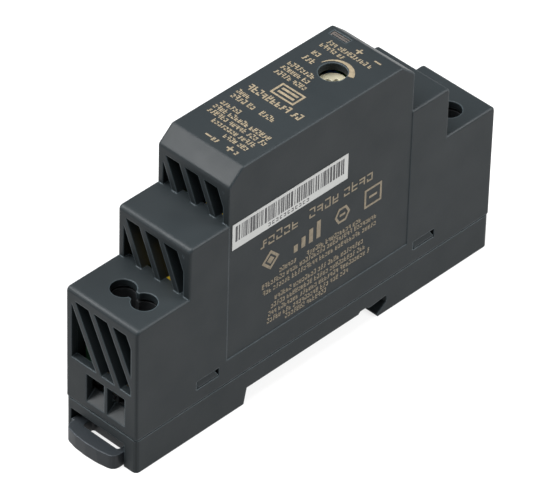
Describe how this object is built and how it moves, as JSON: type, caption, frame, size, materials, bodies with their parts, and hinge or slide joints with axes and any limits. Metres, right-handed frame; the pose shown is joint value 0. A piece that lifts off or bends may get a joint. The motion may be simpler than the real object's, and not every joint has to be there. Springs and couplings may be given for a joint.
{
  "type": "din rail power supply",
  "caption": "Slim DIN rail power supply with a stepped louvred casing, sprung rail latch, rising-clamp screw terminals, voltage trimmer and indicator window.",
  "frame": {"origin": "centre of the flat floor of the rail channel, the face the rail's flanges bear on; the feet reach 3.43 mm below it", "axes": "+Z out of the rail towards the front of the casing, +Y along the casing away from the latch end, +X across the width"},
  "size_m": [0.0176, 0.0929, 0.0545],
  "materials": {
    "casing_plastic": "fine matte grain",
    "latch_plastic": "satin",
    "terminal_plastic": "matte",
    "smoke_clear": "smoked clear plastic",
    "label_paper": "coated white film",
    "spring_steel": "bright rolled",
    "screw_steel": "zinc plated",
    "cage_brass": "satin",
    "copper": "enamelled or tinned copper",
    "board_laminate": "solder mask",
    "ferrite": "matte sintered",
    "yellow_tape": "polyester tape",
    "capacitor_sleeve": "shrink sleeve",
    "package_epoxy": "moulded epoxy",
    "fuse_ceramic": "glazed",
    "blue_coating": "epoxy coating",
    "lamp_green": "tinted clear",
    "cream_plastic": "satin"
  },
  "bodies": {
    "housing": {"front_cover": "casing_plastic", "rear_base": "casing_plastic", "light_pipe": "smoke_clear", "barcode_label": "label_paper", "latch_spring": "spring_steel", "input_terminal_body": "terminal_plastic", "contact_bar_1": "copper", "contact_bar_2": "copper", "output_terminal_body": "terminal_plastic", "contact_bar_3": "copper", "contact_bar_4": "copper", "circuit_board": "board_laminate", "transformer_core_upper": "ferrite", "transformer_core_lower": "ferrite", "transformer_winding": "yellow_tape", "input_capacitor_1": "capacitor_sleeve", "input_capacitor_2": "capacitor_sleeve", "output_capacitor_1": "capacitor_sleeve", "output_capacitor_2": "capacitor_sleeve", "output_choke_core": "ferrite", "output_choke_winding": "copper", "switching_transistor": "package_epoxy", "rectifier_diode": "package_epoxy", "controller_chip": "package_epoxy", "optocoupler": "package_epoxy", "input_fuse": "fuse_ceramic", "ceramic_capacitor": "blue_coating", "indicator_led": "lamp_green", "trimmer_body": "blue_coating"},
    "latch": {"rail_latch": "latch_plastic"},
    "screw_1": {"terminal_screw_1": "screw_steel"},
    "cage_1": {"clamp_cage_1": "cage_brass"},
    "screw_2": {"terminal_screw_2": "screw_steel"},
    "cage_2": {"clamp_cage_2": "cage_brass"},
    "screw_3": {"terminal_screw_3": "screw_steel"},
    "cage_3": {"clamp_cage_3": "cage_brass"},
    "screw_4": {"terminal_screw_4": "screw_steel"},
    "cage_4": {"clamp_cage_4": "cage_brass"},
    "trimmer_dial": {"trimmer_rotor": "cream_plastic"}
  },
  "joints": [
    {"name": "latch_slide", "type": "slide", "parent": "housing", "child": "latch", "axis": [0, -1, 0], "range_m": [0, 0.0035], "stiffness_N_per_m": 2000, "springref_m": -0.0025, "deforming": ["latch_spring"]},
    {"name": "screw_turn_1", "type": "hinge", "parent": "housing", "child": "screw_1", "pos_m": [-0.00144, -0.0383, 0.0157], "axis": [0, 0, -1], "range_deg": [0, 2090]},
    {"name": "cage_lift_1", "type": "slide", "parent": "housing", "child": "cage_1", "axis": [0, 0, 1], "range_m": [0, 0.0029]},
    {"name": "screw_turn_2", "type": "hinge", "parent": "housing", "child": "screw_2", "pos_m": [0.00364, -0.0383, 0.0157], "axis": [0, 0, -1], "range_deg": [0, 2090]},
    {"name": "cage_lift_2", "type": "slide", "parent": "housing", "child": "cage_2", "axis": [0, 0, 1], "range_m": [0, 0.0029]},
    {"name": "screw_turn_3", "type": "hinge", "parent": "housing", "child": "screw_3", "pos_m": [-0.00144, 0.0383, 0.0157], "axis": [0, 0, -1], "range_deg": [0, 2090]},
    {"name": "cage_lift_3", "type": "slide", "parent": "housing", "child": "cage_3", "axis": [0, 0, 1], "range_m": [0, 0.0029]},
    {"name": "screw_turn_4", "type": "hinge", "parent": "housing", "child": "screw_4", "pos_m": [0.00364, 0.0383, 0.0157], "axis": [0, 0, -1], "range_deg": [0, 2090]},
    {"name": "cage_lift_4", "type": "slide", "parent": "housing", "child": "cage_4", "axis": [0, 0, 1], "range_m": [0, 0.0029]},
    {"name": "trimmer_turn", "type": "hinge", "parent": "housing", "child": "trimmer_dial", "pos_m": [0.00097, 0.0101, 0.04747], "axis": [0, 0, 1], "range_deg": [-130, 130]}
  ],
  "couplings": [
    {"joint": "screw_turn_1", "follows": "cage_lift_1", "rad_per_m": 12566},
    {"joint": "screw_turn_2", "follows": "cage_lift_2", "rad_per_m": 12566},
    {"joint": "screw_turn_3", "follows": "cage_lift_3", "rad_per_m": 12566},
    {"joint": "screw_turn_4", "follows": "cage_lift_4", "rad_per_m": 12566}
  ]
}
